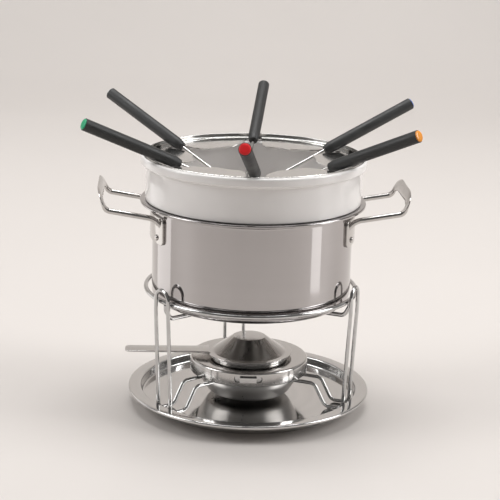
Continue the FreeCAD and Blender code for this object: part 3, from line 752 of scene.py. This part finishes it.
class FONDUE_OT_handles(PieceOperator, bpy.types.Operator):
    """Make the pot's two handles with their brackets and rivets"""
    bl_idname = "fondue.handles"
    bl_label = "Pot Handles"

    def build(self, sizes):
        pot = sizes.pot
        steel = plated_wire("Handle steel", sizes.finish.handle, 0.10)
        for side, extra in zip(SIDES, (math.pi, 0.0)):
            where = pot.handle_turn + extra
            piece("handle_" + side, turn_about_z(self.loop(pot), where), "pot",
                  ["handle_loop_" + side], steel)
            piece("bracket_" + side, turn_about_z(self.bracket(pot), where), "pot",
                  ["handle_bracket_" + side], steel)
            piece("rivets_" + side, turn_about_z(self.rivets(pot), where), "pot",
                  ["handle_rivets_" + side], steel)

    def loop(self, pot):
        """Two round rods and an arched grip, beaten flat and wide in the middle."""
        side = pot.rod_offset
        end = Vector((pot.rod_end, 0, pot.rod_rise))
        up = Vector((math.cos(pot.grip_tilt), 0, math.sin(pot.grip_tilt)))
        near = [(Vector((74.2 * MM, 0, 158.2 * MM)), side, 0),
                (Vector((80.5 * MM, 0, 164.3 * MM)), side, 12), (end, side, 6),
                (end + up * (pot.grip_rise - 4 * MM), side - 1 * MM, 5.5),
                (end + up * pot.grip_rise, side - 12 * MM, 14)]
        line = [(place + Vector((0, across, 0)), bend) for place, across, bend in near]
        line += [(place - Vector((0, across, 0)), bend) for place, across, bend in reversed(near)]
        places, bends = [p for p, b in line], [b * MM * 0.98 for p, b in line]
        dense = bent_points(places, bends)
        bm = wire_mesh(places, bends, pot.rod)
        for vert in bm.verts:
            spot = min(range(len(dense)), key=lambda i: (dense[i] - vert.co).length_squared)
            first, second = dense[max(spot - 1, 0)], dense[min(spot + 1, len(dense) - 1)]
            along = (second - first).normalized()
            here = dense[spot] + along * (vert.co - dense[spot]).dot(along)
            flat = min(max(((here - end).dot(up) + 2 * MM) / (12 * MM), 0.0), 1.0)
            flat = flat * flat * (3.0 - 2.0 * flat)
            away = vert.co - here
            across = Vector((0, away.y, 0)) + up * away.dot(up)
            thin = away - across
            vert.co = here + across * (1.0 + 1.3 * flat) + thin * (1.0 - 0.43 * flat)
        bmesh.ops.recalc_face_normals(bm, faces=bm.faces)
        return bm

    def bracket(self, pot):
        """A plate with rounded corners, made flat and bent round the wall."""
        bm = bmesh.new()
        inner = pot.wall + 0.02 * MM
        half = pot.bracket * inner
        bottom, top = low("handle_bracket_right")[2], high("handle_bracket_right")[2]
        path = wire_path(bm, [(inner, -half, bottom), (inner, half, bottom), (inner, half, top),
                              (inner, -half, top)], True)
        round_corners(bm, path, [4 * MM] * 4)
        face = bmesh.ops.contextual_create(bm, geom=bm.edges[:])["faces"]
        outer = bmesh.ops.extrude_face_region(bm, geom=face)["geom"]
        outer = [g for g in outer if isinstance(g, bmesh.types.BMVert)]
        bmesh.ops.translate(bm, verts=outer, vec=(pot.plate, 0, 0))
        bmesh.ops.recalc_face_normals(bm, faces=bm.faces)
        rims = [edge for edge in bm.edges if abs(edge.verts[0].co.x - edge.verts[1].co.x) < 1e-7]
        bmesh.ops.bevel(bm, geom=rims, offset=0.4 * MM, segments=3, profile=0.5, affect="EDGES", material=-1)
        strips = 20
        for cut in range(1 - strips, strips):
            bmesh.ops.bisect_plane(bm, geom=bm.verts[:] + bm.edges[:] + bm.faces[:], dist=1e-7,
                                   plane_co=(0, half * cut / strips, 0), plane_no=(0, 1, 0))
        for vert in bm.verts:
            around = vert.co.y / inner
            vert.co = Vector((vert.co.x * math.cos(around), vert.co.x * math.sin(around), vert.co.z))
        bmesh.ops.recalc_face_normals(bm, faces=bm.faces)
        return bm

    def rivets(self, pot):
        """Two domed heads on the bracket."""
        bm = bmesh.new()
        level = (low("handle_rivets_right")[2] + high("handle_rivets_right")[2]) / 2
        for sign in (-1, 1):
            where = pot.rivet_turn * sign
            crown = pot.rivet_height
            head = turned([(0, 0, 0), (pot.rivet, 0, 0),
                           (pot.rivet - 0.2 * MM, crown - 0.4 * MM, 0.8 * MM),
                           (pot.rivet - 1.2 * MM, crown, 1.4 * MM), (0, crown, 0)], steps=32)
            out = Vector((math.cos(where), math.sin(where), 0)) * (pot.wall + pot.plate + 0.04 * MM)
            place = Matrix.Translation(out + Vector((0, 0, level)))
            place = place @ Matrix.Rotation(where, 4, "Z") @ Matrix.Rotation(math.pi / 2, 4, "Y")
            bmesh.ops.transform(head, verts=head.verts, matrix=place)
            join(bm, head)
        bmesh.ops.recalc_face_normals(bm, faces=bm.faces)
        return bm


class FONDUE_OT_insert(PieceOperator, bpy.types.Operator):
    """Make the glazed ceramic insert"""
    bl_idname = "fondue.insert"
    bl_label = "Ceramic Insert"

    def build(self, sizes):
        insert = sizes.insert
        seat = sizes.pot.rim_top + 0.06 * MM
        body, under, ledge = insert.body, insert.lip_under, insert.ledge
        shape = turned([
            (0, insert.bottom, 0), (body - 20 * MM, insert.bottom, 10 * MM),
            (body - 1.5 * MM, insert.bottom + 26 * MM, 30 * MM), (body, seat, 0.6 * MM),
            (insert.collar, seat, 1.2 * MM), (insert.collar, under - 1.2 * MM, 1 * MM),
            (insert.lip, under, 1.6 * MM), (insert.lip, insert.lip_top, 1.8 * MM),
            (insert.ledge_radius, insert.lip_top, 0.8 * MM), (insert.ledge_radius, ledge, 0.8 * MM),
            (insert.inside, ledge, 3 * MM), (insert.inside - 2.5 * MM, insert.floor + 20 * MM, 24 * MM),
            (insert.inside - 20 * MM, insert.floor, 10 * MM), (0, insert.floor, 0)], steps=200)
        piece("insert", shape, "insert", ["ceramic_bowl"], white_glaze())


class FONDUE_OT_forks(PieceOperator, bpy.types.Operator):
    """Make the fork ring's finish and the forks' grips and caps"""
    bl_idname = "fondue.forks"
    bl_label = "Fork Ring and Forks"

    def build(self, sizes):
        forks, finish = sizes.forks, sizes.finish
        finish_node("fork_ring", polished_steel("Ring steel", finish.ring, 0.12, 3e-6))
        steel = plated_wire("Fork steel", finish.ring, 0.12)
        plastic = grip_plastic()
        for index, name in enumerate(FORKS):
            place = self.place(forks, forks.first + math.tau / forks.count * index)
            finish_node("fork_%s_tines" % name, steel)
            grip = self.grip(forks)
            bmesh.ops.transform(grip, verts=grip.verts, matrix=place)
            piece("grip_" + name, grip, "fork_" + name, ["fork_%s_grip" % name], plastic)
            cap = self.cap(forks)
            bmesh.ops.transform(cap, verts=cap.verts, matrix=place)
            paint = cap_plastic("Cap " + name, getattr(finish, name))
            piece("cap_" + name, cap, "fork_" + name, ["fork_%s_cap" % name], paint)

    def place(self, forks, azimuth):
        """Turns a shape made along Z onto a fork's own line."""
        aside = Vector((-math.sin(azimuth), math.cos(azimuth), 0)) * forks.offset
        spot = Matrix.Translation(aside + Vector((0, 0, forks.height)))
        yaw = Matrix.Rotation(azimuth, 4, "Z")
        return spot @ yaw @ Matrix.Rotation(math.pi / 2 - forks.slope, 4, "Y")

    def grip(self, forks):
        """A moulded grip, bored for the shank and recessed for the cap."""
        start, stop, radius = forks.grip_start, forks.grip_end, forks.grip
        bore, well = 1.35 * MM, forks.cap + 0.05 * MM
        return turned([
            (bore, start, 0), (radius - 1.4 * MM, start, 0.8 * MM),
            (radius - 0.1 * MM, start + 6 * MM, 12 * MM), (radius, stop, 0.25 * MM),
            (well, stop, 0.1 * MM), (well, forks.cap_start, 0), (0, forks.cap_start, 0),
            (0, start + 12 * MM, 0), (bore, start + 12 * MM, 0)], steps=72)

    def cap(self, forks):
        """The coloured plug, its end softly domed."""
        start, stop = forks.cap_start + 0.02 * MM, forks.cap_end
        return turned([
            (0, start, 0), (forks.cap, start, 0.3 * MM), (forks.cap, stop - 0.5 * MM, 0.6 * MM),
            (forks.cap - 1.6 * MM, stop, 3 * MM), (0, stop, 0)], steps=72)


# name, place, aim, (width, height) and watts of each lamp
LAMPS = (
    ("left", (-1.7, -0.25, 1.25), (0, 0, 0.12), (0.9, 1.2), 17),
    ("right", (1.75, -0.15, 1.2), (0, 0, 0.12), (0.9, 1.2), 23),
    ("top", (0, 0.3, 2.1), (0, 0, 0.1), (1.6, 1.2), 22),
    ("wash", (0, 0.6, 2.6), (0, 2.2, 0.9), (2.0, 0.6), 24))
# low lamps seen only as reflections in the steel and the glaze
STRIPS = (
    ("left strip", (-0.33, 0.13, 0.10), (0, 0, 0.10), (0.19, 0.26), 0.085),
    ("right strip", (0.36, -0.12, 0.10), (0, 0, 0.10), (0.085, 0.30), 0.046))


class FONDUE_OT_stage(PieceOperator, bpy.types.Operator):
    """Make the floor, the lights and the camera"""
    bl_idname = "fondue.stage"
    bl_label = "Stage"

    def build(self, sizes):
        stage = sizes.stage
        self.floor(stage)
        self.lights()
        self.camera(stage)
        bpy.context.scene.view_settings.view_transform = "Standard"

    def floor(self, stage):
        """A floor that curves up into a backdrop."""
        bm = bmesh.new()
        path = wire_path(bm, [(-3, -4, 0), (-3, 2.2, 0), (-3, 2.2, 3)], False)
        round_corners(bm, path, [0, 0.8, 0])
        rise = bmesh.ops.extrude_edge_only(bm, edges=bm.edges[:])["geom"]
        bmesh.ops.translate(bm, verts=[g for g in rise if isinstance(g, bmesh.types.BMVert)], vec=(6, 0, 0))
        bmesh.ops.recalc_face_normals(bm, faces=bm.faces)
        bm.normal_update()
        lowest = min(bm.faces, key=lambda face: face.calc_center_median().z)
        if lowest.normal.z < 0:
            bmesh.ops.reverse_faces(bm, faces=bm.faces)
        mesh = bpy.data.meshes.new("floor")
        bm.to_mesh(mesh)
        bm.free()
        mesh.shade_smooth()
        finish = Finish("Floor paint", stage.floor, 0.6)
        haze = finish.group(smudges(), Size=3.0)
        finish.tint(haze["Haze"], 0.985)
        finish.spread(haze["Haze"], "Roughness", 0.5, 0.6)
        self.open_back(finish)
        mesh.materials.append(finish.material)
        floor = bpy.data.objects.new("floor", mesh)
        bpy.context.scene.collection.objects.link(floor)

    def open_back(self, finish):
        """Lets a camera behind the backdrop see through it."""
        back = finish.tree.nodes.new("ShaderNodeNewGeometry").outputs["Backfacing"]
        front = math_node(finish.tree, "SUBTRACT", 1.0, back)
        finish.tree.links.new(front, finish.shader.inputs["Alpha"])

    def light(self, name, place, target, size, power):
        data = bpy.data.lights.new(name, "AREA")
        data.shape = "RECTANGLE"
        data.size, data.size_y = size
        data.energy = power
        lamp = bpy.data.objects.new(name, data)
        lamp.location = place
        lamp.rotation_euler = (Vector(target) - Vector(place)).to_track_quat("-Z", "Y").to_euler()
        lamp.visible_camera = False
        bpy.context.scene.collection.objects.link(lamp)
        return lamp

    def lights(self):
        for lamp in LAMPS:
            self.light(*lamp)
        for strip in STRIPS:
            self.light(*strip).visible_diffuse = False
        self.world()

    def world(self):
        """A grey surround, dimmer on the camera's side."""
        world = bpy.data.worlds.new("studio")
        world.use_nodes = True
        tree = world.node_tree
        parts = tree.nodes.new("ShaderNodeSeparateXYZ")
        tree.links.new(tree.nodes.new("ShaderNodeTexCoord").outputs["Generated"], parts.inputs[0])
        span = tree.nodes.new("ShaderNodeMapRange")
        span.inputs["From Min"].default_value = -1.0
        span.inputs["To Min"].default_value = 0.16
        span.inputs["To Max"].default_value = 0.72
        tree.links.new(parts.outputs["Y"], span.inputs["Value"])
        backing = tree.nodes["Background"]
        backing.inputs["Color"].default_value = (0.62, 0.61, 0.60, 1)
        tree.links.new(span.outputs[0], backing.inputs["Strength"])
        bpy.context.scene.world = world

    def camera(self, stage):
        data = bpy.data.cameras.new("camera")
        data.lens = stage.lens
        data.sensor_width = 36.0
        data.clip_end = 50.0
        item = bpy.data.objects.new("camera", data)
        turn_down = Matrix.Rotation(math.pi / 2 - stage.pitch, 4, "X")
        spot = Matrix.Translation((-stage.aside, -stage.distance, stage.height))
        item.matrix_world = spot @ turn_down @ Matrix.Rotation(stage.roll, 4, "Z")
        bpy.context.scene.collection.objects.link(item)
        bpy.context.scene.camera = item


PIECES = (FONDUE_OT_tray, FONDUE_OT_stand, FONDUE_OT_burner, FONDUE_OT_snuffer, FONDUE_OT_pot,
          FONDUE_OT_handles, FONDUE_OT_insert, FONDUE_OT_forks, FONDUE_OT_stage)


class FONDUE_PT_panel(bpy.types.Panel):
    bl_label = "Fondue Pot Set"
    bl_idname = "FONDUE_PT_panel"
    bl_space_type = "VIEW_3D"
    bl_region_type = "UI"
    bl_category = "Fondue"

    def draw(self, context):
        for kind in PIECES:
            self.layout.operator(kind.bl_idname)


CLASSES = (TraySettings, StandSettings, BurnerSettings, PotSettings, InsertSettings, ForkSettings,
           FinishSettings, StageSettings, FondueSettings) + PIECES + (FONDUE_PT_panel,)


def register():
    for kind in CLASSES:
        bpy.utils.register_class(kind)
    bpy.types.Scene.fondue = PointerProperty(type=FondueSettings)


def unregister():
    del bpy.types.Scene.fondue
    for kind in reversed(CLASSES):
        bpy.utils.unregister_class(kind)


def main():
    register()
    for kind in PIECES:
        group, name = kind.bl_idname.split(".")
        getattr(getattr(bpy.ops, group), name)()


if __name__ == "__main__":
    main()
